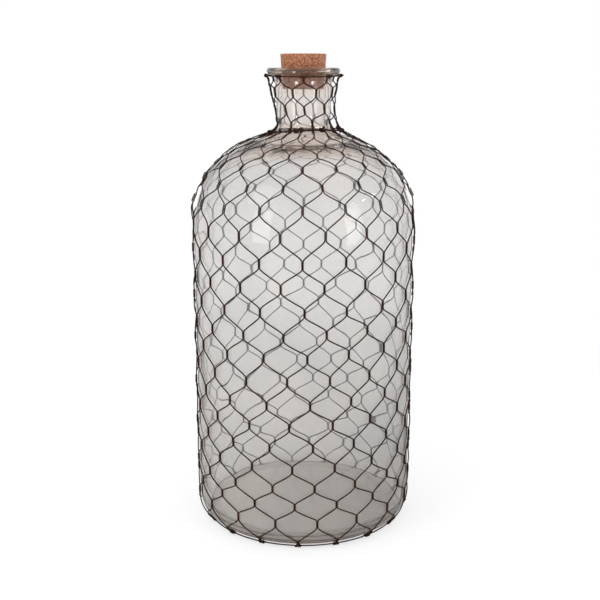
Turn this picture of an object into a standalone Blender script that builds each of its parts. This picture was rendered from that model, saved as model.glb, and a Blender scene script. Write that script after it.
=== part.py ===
"""Blown glass bottle in a jacket of hexagonal wire netting, closed by a tapered cork.

Metres, +Z up. The origin is the middle of the foot, on the surface that the bottle stands on.
The body's netting runs from a hoop under the heel to a tie round the base of the neck, and the
neck's netting runs from that tie to a hoop under the lip. Each wire of the netting zigzags up
its own lane and lies beside its neighbour wherever the two are twisted together. The cork
lifts straight out along +Z.
"""
import math
import random

import bpy

# Cork: its taper, its length and how much of it stands above the lip
CORK_TOP_RADIUS = 0.0216
CORK_BOTTOM_RADIUS = 0.0193
CORK_LENGTH = 0.0314
CORK_SHOWING = 0.0124
CORK_EDGE = 0.0006
CORK_CLEARANCE = 0.0003

# Glass: radii and walls
BODY_RADIUS = 0.1067
HEEL_RADIUS = 0.0219
BODY_WALL = 0.0032
FLOOR_THICKNESS = 0.0100
INNER_HEEL_RADIUS = 0.0135
NECK_WALL = 0.0063
NECK_SPREAD = 0.0188
NECK_TOP_FLARE = 0.0020
LIP_OVERHANG = 0.0075
MOUTH_EDGE = 0.0015

# Glass: heights, stacked from the foot to the lip
BODY_HEIGHT = 0.2854
SHOULDER_RISE = 0.0924
NECK_BASE_RISE = 0.0221
NECK_RISE = 0.0366
LIP_THICKNESS = 0.0064

# Glass: how steep the shoulder is where it meets the neck, and how far each end pulls its curve
SHOULDER_SLOPE = math.radians(23.0)
SHOULDER_LOW_PULL_SHARE = 0.55
SHOULDER_HIGH_PULL_SHARE = 0.67
NECK_LOW_PULL_SHARE = 0.49
NECK_HIGH_PULL_SHARE = 0.70

# Wires
WIRE_RADIUS = 0.0005
RING_WIRE_RADIUS = 0.0006
WIRE_GAP = 0.0003

# Body netting
BODY_COLUMNS = 17
BASE_HOOP_ANGLE = math.radians(33.0)
SHOULDER_LIFT = 0.0005
BODY_LEAN = math.radians(8.3)
BODY_LEAN_SHARE = 0.60
BODY_FRONT = math.radians(10.2)
BODY_SKEW = 0.0038
BODY_TWIST_SHARE = 0.36
BODY_ROW_SHARES = (
    0.012, 0.069, 0.112, 0.153, 0.200, 0.248, 0.298, 0.347, 0.399, 0.452, 0.501,
    0.552, 0.604, 0.658, 0.715, 0.770, 0.817, 0.865, 0.905, 0.942, 0.980,
)

# Neck netting
NECK_COLUMNS = 9
TIE_DROP = 0.0125
TIE_REACH = 0.0130
TIE_SLACK = 0.0012
NECK_FLARE_SHARE = 0.62
NECK_FRONT = math.radians(20.5)
NECK_LEAN = math.radians(-14.0)
NECK_LEAN_SHARE = 0.37
NECK_TWIST_SHARE = 0.42
NECK_ROW_SHARES = (0.095, 0.370, 0.670, 0.955)

# How far a twist may lie from its place in the regular netting, along and across
NUDGE_ALONG = 0.0010
NUDGE_ACROSS = 0.0008
NUDGE_SEED = 7

# How finely curves are drawn
GLASS_STEPS = 40
CORK_STEPS = 32
HEEL_POINTS = 6
SHOULDER_POINTS = 10
NECK_BASE_POINTS = 6
NECK_POINTS = 3
LIP_POINTS = 7
MOUTH_POINTS = 3
FLOOR_CORNER_POINTS = 4
INNER_SHOULDER_POINTS = 7
INNER_NECK_BASE_POINTS = 4
BASE_HOOP_POINTS = 72
RING_POINTS = 48
LARGEST_TURN = math.radians(12.0)
TRACK_POINTS = 40

# Worked out from the sizes above
CORK_SLOPE = (CORK_TOP_RADIUS - CORK_BOTTOM_RADIUS) / CORK_LENGTH
BORE_RADIUS = CORK_TOP_RADIUS - CORK_SLOPE * (CORK_SHOWING + MOUTH_EDGE) + CORK_CLEARANCE
NECK_RADIUS = BORE_RADIUS + NECK_WALL
SHOULDER_TOP_RADIUS = NECK_RADIUS + NECK_SPREAD
LIP_RADIUS = NECK_RADIUS + LIP_OVERHANG
SHOULDER_TOP = BODY_HEIGHT + SHOULDER_RISE
NECK_WAIST = SHOULDER_TOP + NECK_BASE_RISE
LIP_BOTTOM = NECK_WAIST + NECK_RISE
LIP_TOP = LIP_BOTTOM + LIP_THICKNESS
TIE_HEIGHT = NECK_WAIST - TIE_DROP
RIM_HOOP_RADIUS = LIP_RADIUS + RING_WIRE_RADIUS
RIM_HOOP_HEIGHT = LIP_BOTTOM - RING_WIRE_RADIUS - WIRE_GAP / 2


def arc(centre, radius, start, end, count):
    """Points (radius from the axis, height) on an arc; angle zero points outwards."""
    points = []
    for i in range(count):
        angle = start + (end - start) * i / (count - 1)
        points.append((centre[0] + radius * math.cos(angle), centre[1] + radius * math.sin(angle)))
    return points


def bezier(start, first_pull, second_pull, end, count):
    """Points on a cubic curve from start to end; each pull is a handle from its own end."""
    handles = (
        start,
        (start[0] + first_pull[0], start[1] + first_pull[1]),
        (end[0] + second_pull[0], end[1] + second_pull[1]),
        end,
    )
    points = []
    for i in range(count):
        t = i / (count - 1)
        weights = ((1 - t) ** 3, 3 * t * (1 - t) ** 2, 3 * t * t * (1 - t), t ** 3)
        points.append(tuple(sum(w * h[k] for w, h in zip(weights, handles)) for k in (0, 1)))
    return points


def offset(points, distance_at):
    """The points moved sideways off their line, to its outer side, by distance_at(share)."""
    moved = []
    for i, point in enumerate(points):
        before = points[max(i - 1, 0)]
        after = points[min(i + 1, len(points) - 1)]
        run = (after[0] - before[0], after[1] - before[1])
        length = math.hypot(*run)
        distance = distance_at(i / (len(points) - 1))
        moved.append((point[0] + run[1] / length * distance, point[1] - run[0] / length * distance))
    return moved


def heel(count, start=-math.pi / 2):
    """The outside of the heel, from the foot upwards."""
    return arc((BODY_RADIUS - HEEL_RADIUS, HEEL_RADIUS), HEEL_RADIUS, start, 0, count)


def shoulder(count):
    """The outside of the shoulder, from the body upwards."""
    low_pull = SHOULDER_RISE * SHOULDER_LOW_PULL_SHARE
    high_pull = (BODY_RADIUS - SHOULDER_TOP_RADIUS) * SHOULDER_HIGH_PULL_SHARE
    return bezier(
        (BODY_RADIUS, BODY_HEIGHT),
        (0, low_pull),
        (high_pull * math.cos(SHOULDER_SLOPE), -high_pull * math.sin(SHOULDER_SLOPE)),
        (SHOULDER_TOP_RADIUS, SHOULDER_TOP),
        count,
    )


def neck_base(count):
    """The hollow curve from the shoulder into the neck."""
    low_pull = NECK_SPREAD * NECK_LOW_PULL_SHARE
    return bezier(
        (SHOULDER_TOP_RADIUS, SHOULDER_TOP),
        (-low_pull * math.cos(SHOULDER_SLOPE), low_pull * math.sin(SHOULDER_SLOPE)),
        (0, -NECK_BASE_RISE * NECK_HIGH_PULL_SHARE),
        (NECK_RADIUS, NECK_WAIST),
        count,
    )


def neck(count):
    """The outside of the neck, opening a little towards the lip."""
    points = []
    for i in range(count):
        share = i / (count - 1)
        points.append((NECK_RADIUS + NECK_TOP_FLARE * share ** 2, NECK_WAIST + NECK_RISE * share))
    return points


class Track:
    """A line of (radius, height) points, read by the distance run along it."""

    def __init__(self, points):
        self.points = points
        self.distances = [0]
        for a, b in zip(points, points[1:]):
            self.distances.append(self.distances[-1] + math.dist(a, b))
        self.length = self.distances[-1]

    def segment(self, distance):
        index = 1
        while index < len(self.points) - 1 and self.distances[index] < distance:
            index += 1
        return index

    def at(self, distance):
        index = self.segment(distance)
        a, b = self.points[index - 1], self.points[index]
        run = self.distances[index] - self.distances[index - 1]
        share = (distance - self.distances[index - 1]) / run
        return a[0] + (b[0] - a[0]) * share, a[1] + (b[1] - a[1]) * share

    def heading(self, distance):
        index = self.segment(distance)
        a, b = self.points[index - 1], self.points[index]
        return math.atan2(b[1] - a[1], b[0] - a[0])


def chord_sag(radius, columns):
    """How far a wire's straight run across half a mesh dips below the circle it spans."""
    return radius * (1 - math.cos(math.pi / (2 * columns)))


def slack(height):
    """How loose the netting is round the neck tie; it is taut beyond TIE_REACH of it."""
    reach = min(1, abs(height - TIE_HEIGHT) / TIE_REACH)
    return TIE_SLACK * (1 + math.cos(math.pi * reach)) / 2


def loosened(points):
    """The points moved out from the axis by the slack at their height."""
    return [(radius + slack(height), height) for radius, height in points]


def body_track():
    """The middle line of the body's netting, from the base hoop to the neck tie."""
    stand = RING_WIRE_RADIUS + WIRE_GAP + chord_sag(BODY_RADIUS, BODY_COLUMNS)
    low = offset(heel(TRACK_POINTS, BASE_HOOP_ANGLE - math.pi / 2), lambda share: stand)
    high = offset(shoulder(TRACK_POINTS), lambda share: stand + SHOULDER_LIFT * math.sin(math.pi * share))
    top = offset(neck_base(TRACK_POINTS), lambda share: stand)
    below_tie = [point for point in top[1:] if point[1] < TIE_HEIGHT]
    return Track(loosened(low + high + below_tie))


def neck_track(tie):
    """The middle line of the neck's netting, from the neck tie to the rim hoop."""
    stand = RING_WIRE_RADIUS + WIRE_GAP + chord_sag(NECK_RADIUS, NECK_COLUMNS)
    side = offset(neck_base(TRACK_POINTS) + neck(TRACK_POINTS)[1:], lambda share: stand)
    flare_start = NECK_WAIST + NECK_RISE * NECK_FLARE_SHARE
    held = loosened(point for point in side if tie[1] + RING_WIRE_RADIUS < point[1] < flare_start)
    flare_rise = RIM_HOOP_HEIGHT - held[-1][1]
    flare = bezier(
        held[-1],
        (0, flare_rise * NECK_FLARE_SHARE),
        (0, 0),
        (RIM_HOOP_RADIUS, RIM_HOOP_HEIGHT),
        TRACK_POINTS,
    )
    return Track([tie] + held + flare[1:])


def place(radius, angle, height):
    """A point at an angle from the front (-Y), positive towards +X, where the slack is drawn."""
    return slack(height) + radius * math.sin(angle), -radius * math.cos(angle), height


def row_spacing(rows, k):
    """The mean distance from row k to the rows next to it."""
    near = rows[max(k - 1, 0):k + 2]
    return (near[-1] - near[0]) / (len(near) - 1)


class Netting:
    """Twists in rows and half columns, with one wire to each lane between half columns."""

    def __init__(self, track, columns, row_shares, twist_share, end_room, angle_of, skew, seed):
        self.track = track
        self.lanes = 2 * columns
        self.end_room = end_room
        self.rows = [share * track.length for share in row_shares]
        self.halves = [twist_share * row_spacing(self.rows, k) / 2 for k in range(len(self.rows))]
        chance = random.Random(seed)
        self.twists = {}
        for k, row in enumerate(self.rows):
            for half_column in range(k % 2, self.lanes, 2):
                share = row / track.length
                freedom = math.sin(math.pi * share)
                angle = angle_of(share) + half_column * math.pi / columns
                aside = NUDGE_ACROSS * chance.uniform(-1, 1) * freedom / track.at(row)[0]
                along = NUDGE_ALONG * chance.uniform(-1, 1) * freedom
                lift = skew * math.sin(angle) * 4 * share * (1 - share)
                self.twists[k, half_column] = (row + along + lift, angle + aside)

    def twist(self, k, half_column):
        distance, angle = self.twists[k, half_column % self.lanes]
        return distance, angle + (half_column // self.lanes) * 2 * math.pi

    def wire(self, lane):
        """The points of one lane's wire, from its lower end to its upper end."""
        pair_offset = WIRE_RADIUS + WIRE_GAP / 2
        stops = []
        for k in range(len(self.rows)):
            on_left = (k + lane) % 2 == 0
            distance, angle = self.twist(k, lane if on_left else lane + 1)
            side = pair_offset if on_left else -pair_offset
            low = distance - self.halves[k]
            high = distance + self.halves[k]
            if k == 0:
                low = self.end_room
            if k == len(self.rows) - 1:
                high = self.track.length - self.end_room
            for end in (low, high):
                stops.append((end, angle + side / self.track.at(end)[0]))
        path = [stops[0]]
        for a, b in zip(stops, stops[1:]):
            turn = abs(self.track.heading(b[0]) - self.track.heading(a[0]))
            pieces = 1 + int(turn / LARGEST_TURN)
            for i in range(1, pieces + 1):
                path.append((a[0] + (b[0] - a[0]) * i / pieces, a[1] + (b[1] - a[1]) * i / pieces))
        points = []
        for distance, angle in path:
            radius, height = self.track.at(distance)
            points.append(place(radius, angle, height))
        return points


def body_angle(share):
    """The body netting leans over below BODY_LEAN_SHARE of its run and is upright above."""
    return BODY_FRONT + BODY_LEAN * max(0, 1 - share / BODY_LEAN_SHARE)


def neck_angle(share):
    """The neck netting's lowest row of twists leans over, and the rows above it are upright."""
    return NECK_FRONT + NECK_LEAN * max(0, 1 - share / NECK_LEAN_SHARE)


def material(name, colour, roughness, metallic, transmission=0):
    made = bpy.data.materials.new(name)
    made.use_nodes = True
    shader = made.node_tree.nodes["Principled BSDF"]
    shader.inputs["Base Color"].default_value = (*colour, 1)
    shader.inputs["Roughness"].default_value = roughness
    shader.inputs["Metallic"].default_value = metallic
    shader.inputs["Transmission Weight"].default_value = transmission
    return made


def add(name, data, height, finish, frame):
    """A piece standing at a height on the bottle's axis."""
    made = bpy.data.objects.new(name, data)
    made.location = (0, 0, height)
    made.parent = frame
    data.materials.append(finish)
    frame.users_collection[0].objects.link(made)
    return made


def turned(name, outline, height, steps, finish, frame):
    """A solid turned about Z from an outline that starts and ends on the axis."""
    mesh = bpy.data.meshes.new(name)
    vertices = [(radius, 0, height) for radius, height in outline]
    mesh.from_pydata(vertices, [(i, i + 1) for i in range(len(vertices) - 1)], [])
    made = add(name, mesh, height, finish, frame)
    screw = made.modifiers.new("Turn", "SCREW")
    screw.axis = "Z"
    screw.angle = 2 * math.pi
    screw.steps = steps
    screw.render_steps = steps
    screw.use_merge_vertices = True
    screw.merge_threshold = 0.00001
    screw.use_smooth_shade = True
    return made


def wire(name, points, radius, height, finish, frame, closed=False):
    curve = bpy.data.curves.new(name, "CURVE")
    curve.dimensions = "3D"
    curve.bevel_depth = radius
    curve.bevel_resolution = 0
    curve.use_fill_caps = not closed
    spline = curve.splines.new("POLY")
    spline.points.add(len(points) - 1)
    spline.use_cyclic_u = closed
    for target, point in zip(spline.points, points):
        target.co = (*point, 1)
    return add(name, curve, height, finish, frame)


def ring(name, section, count, finish, frame):
    """A closed hoop of wire through a (radius, height) point of its section."""
    radius, height = section
    points = []
    for i in range(count):
        x, y, _ = place(radius, 2 * math.pi * i / count, height)
        points.append((x, y, 0))
    return wire(name, points, RING_WIRE_RADIUS, height, finish, frame, closed=True)


def netting(name, net, finish, frame):
    for lane in range(net.lanes):
        wire(f"{name}_{lane + 1:02d}", net.wire(lane), WIRE_RADIUS, 0, finish, frame)


def bottle_outline():
    """From the middle of the inner floor up the inside, over the lip, down the outside."""
    inner_radius = BODY_RADIUS - BODY_WALL
    floor_corner = arc(
        (inner_radius - INNER_HEEL_RADIUS, FLOOR_THICKNESS + INNER_HEEL_RADIUS),
        INNER_HEEL_RADIUS, -math.pi / 2, 0, FLOOR_CORNER_POINTS,
    )
    thicken = NECK_WALL - BODY_WALL
    inner_shoulder = offset(shoulder(INNER_SHOULDER_POINTS), lambda share: -BODY_WALL - thicken * share)
    inner_shoulder[0] = (inner_radius, BODY_HEIGHT)
    inner_neck_base = offset(neck_base(INNER_NECK_BASE_POINTS), lambda share: -NECK_WALL)[1:]
    inner_neck_base[-1] = (BORE_RADIUS, NECK_WAIST)
    mouth = arc(
        (BORE_RADIUS + MOUTH_EDGE, LIP_TOP - MOUTH_EDGE),
        MOUTH_EDGE, math.pi, math.pi / 2, MOUTH_POINTS,
    )
    inside = [(0, FLOOR_THICKNESS)] + floor_corner + inner_shoulder + inner_neck_base + mouth
    lip_round = LIP_THICKNESS / 2
    lip = arc(
        (LIP_RADIUS - lip_round, LIP_TOP - lip_round),
        lip_round, math.pi / 2, -math.pi / 2, LIP_POINTS,
    )
    neck_down = neck(NECK_POINTS)[::-1]
    neck_base_down = neck_base(NECK_BASE_POINTS)[-2::-1]
    shoulder_down = shoulder(SHOULDER_POINTS)[-2::-1]
    outside = lip + neck_down + neck_base_down + shoulder_down + heel(HEEL_POINTS)[::-1] + [(0, 0)]
    return inside + outside


def cork_outline():
    """From the middle of the top down the outer side to the middle of the bottom, at height zero."""
    return [
        (0, CORK_LENGTH),
        (CORK_TOP_RADIUS - CORK_EDGE, CORK_LENGTH),
        (CORK_TOP_RADIUS - CORK_SLOPE * CORK_EDGE, CORK_LENGTH - CORK_EDGE),
        (CORK_BOTTOM_RADIUS + CORK_SLOPE * CORK_EDGE, CORK_EDGE),
        (CORK_BOTTOM_RADIUS - CORK_EDGE, 0),
        (0, 0),
    ]


def clear_scene():
    for old in list(bpy.data.objects):
        bpy.data.objects.remove(old, do_unlink=True)


def build():
    clear_scene()
    collection = bpy.data.collections.new("decorative_bottle")
    bpy.context.scene.collection.children.link(collection)
    frame = bpy.data.objects.new("bottle_frame", None)
    collection.objects.link(frame)
    glass = material("glass", (0.80, 0.80, 0.78), 0.06, 0, transmission=1)
    cork = material("cork", (0.42, 0.22, 0.12), 0.85, 0)
    net_wire = material("net_wire", (0.055, 0.030, 0.025), 0.55, 0.7)

    turned("glass_bottle", bottle_outline(), 0, GLASS_STEPS, glass, frame)
    cork_height = LIP_TOP + CORK_SHOWING - CORK_LENGTH
    turned("cork_stopper", cork_outline(), cork_height, CORK_STEPS, cork, frame)

    body_line = body_track()
    tie = body_line.points[-1]
    neck_line = neck_track(tie)
    ring("base_hoop_wire", body_line.points[0], BASE_HOOP_POINTS, net_wire, frame)
    ring("neck_tie_wire", tie, RING_POINTS, net_wire, frame)
    ring("rim_hoop_wire", neck_line.points[-1], RING_POINTS, net_wire, frame)

    end_room = RING_WIRE_RADIUS + WIRE_GAP
    body_net = Netting(
        body_line, BODY_COLUMNS, BODY_ROW_SHARES, BODY_TWIST_SHARE, end_room, body_angle,
        BODY_SKEW, NUDGE_SEED,
    )
    netting("body_wire", body_net, net_wire, frame)
    neck_net = Netting(
        neck_line, NECK_COLUMNS, NECK_ROW_SHARES, NECK_TWIST_SHARE, end_room, neck_angle,
        0, NUDGE_SEED + 1,
    )
    netting("neck_wire", neck_net, net_wire, frame)


build()
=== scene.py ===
"""Looks of the wire-netted glass bottle: wavy blown glass, wound netting and a granular cork.

Metres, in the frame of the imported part. The netting follows the same lattice as the CAD wires, with
each pair of strands really wound round each other, and each end hooked round its hoop or tucked
under the tie.
"""

import math
import random

import bpy
import mathutils
import numpy as np
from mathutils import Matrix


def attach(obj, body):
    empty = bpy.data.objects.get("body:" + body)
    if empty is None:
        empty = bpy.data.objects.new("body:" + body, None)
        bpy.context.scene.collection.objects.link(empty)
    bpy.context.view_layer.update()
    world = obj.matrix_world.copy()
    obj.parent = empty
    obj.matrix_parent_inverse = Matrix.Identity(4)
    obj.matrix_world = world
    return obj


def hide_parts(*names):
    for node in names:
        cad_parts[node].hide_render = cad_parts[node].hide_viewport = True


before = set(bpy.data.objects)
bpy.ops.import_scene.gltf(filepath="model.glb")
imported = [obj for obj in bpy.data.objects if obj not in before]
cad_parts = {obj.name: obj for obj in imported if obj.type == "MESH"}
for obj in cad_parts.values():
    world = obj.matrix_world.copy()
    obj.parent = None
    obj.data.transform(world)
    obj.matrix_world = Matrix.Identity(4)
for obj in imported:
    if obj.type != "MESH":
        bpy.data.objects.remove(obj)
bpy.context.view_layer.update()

# Sizes of the part, as in its source
CORK_TOP_RADIUS = 0.0216
CORK_BOTTOM_RADIUS = 0.0193
CORK_LENGTH = 0.0314
CORK_SHOWING = 0.0124
CORK_CLEARANCE = 0.0003
BODY_RADIUS = 0.1067
HEEL_RADIUS = 0.0219
BODY_WALL = 0.0032
FLOOR_THICKNESS = 0.0100
INNER_HEEL_RADIUS = 0.0135
NECK_WALL = 0.0063
NECK_SPREAD = 0.0188
NECK_TOP_FLARE = 0.0020
LIP_OVERHANG = 0.0075
MOUTH_EDGE = 0.0015
BODY_HEIGHT = 0.2854
SHOULDER_RISE = 0.0924
NECK_BASE_RISE = 0.0221
NECK_RISE = 0.0366
LIP_THICKNESS = 0.0064
SHOULDER_SLOPE = math.radians(23.0)
SHOULDER_LOW_PULL_SHARE = 0.55
SHOULDER_HIGH_PULL_SHARE = 0.67
NECK_LOW_PULL_SHARE = 0.49
NECK_HIGH_PULL_SHARE = 0.70
RING_WIRE_RADIUS = 0.0006
WIRE_GAP = 0.0003
BODY_COLUMNS = 17
BASE_HOOP_ANGLE = math.radians(33.0)
SHOULDER_LIFT = 0.0005
BODY_LEAN = math.radians(8.3)
BODY_LEAN_SHARE = 0.60
BODY_FRONT = math.radians(10.2)
BODY_SKEW = 0.0038
BODY_TWIST_SHARE = 0.36
BODY_ROW_SHARES = (
    0.012, 0.069, 0.112, 0.153, 0.200, 0.248, 0.298, 0.347, 0.399, 0.452, 0.501,
    0.552, 0.604, 0.658, 0.715, 0.770, 0.817, 0.865, 0.905, 0.942, 0.980,
)
NECK_COLUMNS = 9
TIE_DROP = 0.0125
TIE_REACH = 0.0130
TIE_SLACK = 0.0012
NECK_FLARE_SHARE = 0.62
NECK_FRONT = math.radians(20.5)
NECK_LEAN = math.radians(-14.0)
NECK_LEAN_SHARE = 0.37
NECK_TWIST_SHARE = 0.42
NECK_ROW_SHARES = (0.095, 0.370, 0.670, 0.955)
NUDGE_ALONG = 0.0010
NUDGE_ACROSS = 0.0008
NUDGE_SEED = 7
TRACK_POINTS = 40

CORK_SLOPE = (CORK_TOP_RADIUS - CORK_BOTTOM_RADIUS) / CORK_LENGTH
BORE_RADIUS = CORK_TOP_RADIUS - CORK_SLOPE * (CORK_SHOWING + MOUTH_EDGE) + CORK_CLEARANCE
NECK_RADIUS = BORE_RADIUS + NECK_WALL
SHOULDER_TOP_RADIUS = NECK_RADIUS + NECK_SPREAD
LIP_RADIUS = NECK_RADIUS + LIP_OVERHANG
SHOULDER_TOP = BODY_HEIGHT + SHOULDER_RISE
NECK_WAIST = SHOULDER_TOP + NECK_BASE_RISE
LIP_BOTTOM = NECK_WAIST + NECK_RISE
LIP_TOP = LIP_BOTTOM + LIP_THICKNESS
TIE_HEIGHT = NECK_WAIST - TIE_DROP
RIM_HOOP_RADIUS = LIP_RADIUS + RING_WIRE_RADIUS
RIM_HOOP_HEIGHT = LIP_BOTTOM - RING_WIRE_RADIUS - WIRE_GAP / 2

# How far the glass, and the netting on it, lie inside their CAD shapes, by height
GLASS_INSETS = (
    (0, 0), (HEEL_RADIUS, 0.0009), (0.3700, 0.0009), (0.3860, 0.0056), (NECK_WAIST, 0.0016),
    (LIP_BOTTOM - 0.004, 0.0016), (LIP_BOTTOM, 0),
)
NET_INSETS = (
    (0, 0), (HEEL_RADIUS, 0.0009), (0.3700, 0.0009), (0.3830, 0.0040), (TIE_HEIGHT, 0.0040),
    (NECK_WAIST, 0.0012), (LIP_BOTTOM - 0.010, -0.0022), (LIP_BOTTOM - 0.001, 0),
)

# The netting's strands, as drawn here. STRAND_RADII goes by the share of the way up the body
# netting, where past 1 is the neck netting. SETTLE draws all strands in, and REACH_LIMIT and
# FLOOR_CLEARANCE keep their middle lines inside the CAD box. Their ends and bows have random
# draws of their own, LOOKS_SEED_STEP from the lattice's.
STRAND_RADIUS = 0.00062
STRAND_RADII = (
    (0, STRAND_RADIUS), (0.68, STRAND_RADIUS), (0.85, 0.00052), (1.0, 0.00042), (1.001, 0.00060),
)
STRAND_SIDES = 8
SHARP_ANGLE = math.radians(60)
SETTLE = 0.0001
REACH_LIMIT = 0.10790
FLOOR_CLEARANCE = 0.00066
LOOKS_SEED_STEP = 100

# Twists: how far each strand winds sideways and outwards, and how long a turn is
TWIST_ACROSS = 0.00066
TWIST_OUT = 0.00062
TWIST_OPENING = 0.0005
BODY_TWIST_STRETCH = 0.98
NECK_TWIST_STRETCH = 1.30
TURN_LENGTH = 0.0039
POINTS_PER_TURN = 12

# Diagonals between twists: the ease of their ends and their random bows
DIAGONAL_POINTS = 12
DIAGONAL_PULL_SHARE = 0.15
BOW_ACROSS = 0.0004
BOW_OUT = 0.0009
BOW_OUT_SHARES = (-0.6, 0.7)
SHOULDER_BOW = 0.0036

# How far the netting stands off. LOOSENESS goes by the share of the way from the shoulder's foot,
# SHOULDER_SHARE of the way up the body netting, to the tie. HOOP_EASE and TIE_EASE say how fast
# it grows away from the body netting's hoop and the tie, and HOOP_EASE holds for all of the neck.
SHOULDER_SHARE = 0.64
LOOSENESS = ((0, 0), (0.28, 1.0), (0.42, 1.0), (0.72, 0.20), (1.0, 0))
LOOSE_LENGTH = 0.016
BODY_LOOSE = 0.0003
SHOULDER_LOOSE = 0.0022
NECK_LOOSE = 0.0008
HOOP_EASE = 6
TIE_EASE = 25

# Ends hooked round a hoop: turns, pitch and the cut end's spur
HOOP_RADIUS = 0.00065
HOOP_LIFT = 0.0003
HOOP_POINTS = 240
HOOK_RAMP = 0.0024
HOOK_PITCH = 0.00125
HOOK_TURNS = (1.05, 1.45)
HOOK_SPUR = (0.0006, 0.0022)
HOOK_SPUR_AHEAD_SHARE = 0.3
HOOK_SPUR_OUT_SHARE = 0.5

# Ends tucked under the tie: where they go in, lie and come out, and the cut end's spur
TUCK_REACH = 0.0013
TUCK_HOLD = 0.0005
TUCK_IN_SHARE = 0.6
TUCK_OUT_SHARE = 0.7
TUCK_END_SHARE = 0.3
TUCK_BEYOND = (0.0014, 0.0030)
TUCK_SPUR = (0.0002, 0.0010)

# The tie: two strands wound round each other, and where they leave a level circle
TIE_STRAND_RADIUS = 0.00050
TIE_WIND = 0.00052
TIE_TURNS = 18
TIE_POINTS = 432
TIE_SHIFT = 0.0036
TIE_LIFT = 0.0009
TIE_RAISE = 0.0015
TIE_TILT = 0.0016
TIE_DROOP = 0.0022
TIE_BACK_DROP = 0.0050
TIE_NEAR = 0.018

# Wire ends wound round the tie: degrees from the front, turns and length of the cut end
TIE_KNOTS = (
    (-80, 3.4, 0.0010), (-18, 4.3, 0.0020), (-10, 2.2, 0.0020), (26, 3.1, 0.0025),
    (80, 2.4, 0.0030), (160, 3.2, 0.0020),
)
KNOT_PITCH = 0.00120
KNOT_POINTS_PER_TURN = 10

# The glass: its mesh, its waves, and how its wall thickens from the shoulder to the neck. The
# thickening is gentle except near SUDDEN_ANGLE, where it comes all at once.
GLASS_STEP = 0.0035
GLASS_SIDES = 192
LIP_FILLET = 0.0012
WAVE_DEPTH = 0.00030
WAVE_LENGTH = 0.024
WAVE_STRETCH = 1.6
WAVE_SHARE = 0.10
WAVE_PLACE = mathutils.Vector((3.1, 7.7, 1.3))
FLOOR_WAVE_DEPTH = WAVE_DEPTH * 2
FLOOR_WAVE_SCALE = 1.7
THICKENING_POWER = 7
SOFT_POWER = 2.5
SUDDEN_ANGLE = math.radians(-12)
SUDDEN_FALL = 14
WAVE_EVEN = 0.2
LEAST_EVEN = 0.35

# The cork: its mesh and its pits
CORK_SIDES = 128
CORK_STEP = 0.0008
CORK_EDGE_RADIUS = 0.0007
CORK_PIT_DEPTH = 0.00012
CORK_PIT_SCALES = (900, 380)

# Colours of the glass: its patches, painted shade on its edges seen aslant, and its tint by height
# with painted shade in it
GLASS_TRANSMISSION = 0.94
GLASS_IOR = 1.48
PATCH_SCALE = 14.0
PATCH_COLOURS = ((0.35, (0.90, 0.905, 0.91)), (0.65, (0.967, 0.957, 0.948)))
# Painted shade: the glass grows darker and warmer where it is seen aslant, at its edges
EDGE_SHADE_COLOURS = (
    (0.35, (1.0, 1.0, 1.0)),
    (0.65, (0.92, 0.90, 0.89)),
    (0.85, (0.72, 0.67, 0.64)),
    (1.00, (0.50, 0.44, 0.41)),
)
# The glass's tint by height: a faint warm tint on the body and neck, a darker warm band of painted
# shade just under the tie, warmer in front of the cork, and the lip painted darker and browner in
# place of the cork and rim hoop seen through it
HEIGHT_TINT_LOW = 0.340
HEIGHT_TINT_HIGH = 0.440
HEIGHT_TINT_AND_SHADE_COLOURS = (
    (0.20, (0.98, 0.975, 0.97)),
    (0.34, (0.95, 0.87, 0.81)),
    (0.46, (0.94, 0.84, 0.77)),
    (0.55, (0.975, 0.95, 0.935)),
    (0.76, (0.985, 0.965, 0.955)),
    (0.86, (1.0, 0.92, 0.86)),
    (0.955, (1.0, 0.89, 0.81)),
    (0.985, (0.69, 0.56, 0.45)),
)
SMEAR_SCALE = 40.0
SMEAR_RANGE = (0.4, 0.75)
GLASS_ROUGHNESS = (0.01, 0.05)
RIPPLE_SCALE = 55.0
RIPPLE_STRENGTH = 0.25
RIPPLE_DISTANCE = 0.0002
ABSORBED_COLOUR = (0.62, 0.55, 0.52, 1)
ABSORBED_DENSITY = 16.0

# Colours of the oxidised wire
WIRE_METALLIC = 0.2
WIRE_SPECULAR = 0.12
RUST_SCALE = 260.0
RUST_COLOURS = (
    (0.30, (0.012, 0.0052, 0.0040)),
    (0.50, (0.029, 0.0115, 0.0080)),
    (0.62, (0.060, 0.023, 0.015)),
    (0.78, (0.140, 0.055, 0.031)),
)
WIRE_ROUGHNESS = (0.5, 0.85)
FLAKE_SCALE = 1500.0
FLAKE_STRENGTH = 0.4
FLAKE_DISTANCE = 0.0001

# Colours of the cork's granules and of the seams between them
CORK_SPECULAR = 0.25
GRAIN_SCALE = 1050.0
GRAIN_COLOURS = (
    (0.00, (0.110, 0.038, 0.018)),
    (0.14, (0.300, 0.100, 0.045)),
    (0.45, (0.455, 0.178, 0.092)),
    (0.80, (0.575, 0.255, 0.142)),
    (1.00, (0.740, 0.410, 0.230)),
)
SEAM_WIDTH = 0.12
SEAM_SHARE = 0.45
SEAM_COLOUR = (0.20, 0.080, 0.040, 1)
CORK_ROUGHNESS = (0.75, 0.95)
GRAIN_STRENGTH = 0.6
GRAIN_DISTANCE = 0.0003

# Sockets of a Mix node for colours
MIX_FACTOR, MIX_A, MIX_B, MIX_RESULT = 0, 6, 7, 2

# The world: its light, and the white that is seen, duller overhead
AMBIENT = 0.80
CEILING_START = 0.25
CEILING_END = 0.80
CEILING_COLOUR = (0.62, 0.59, 0.57)
WHITE = (1, 1, 1, 1)

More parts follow.
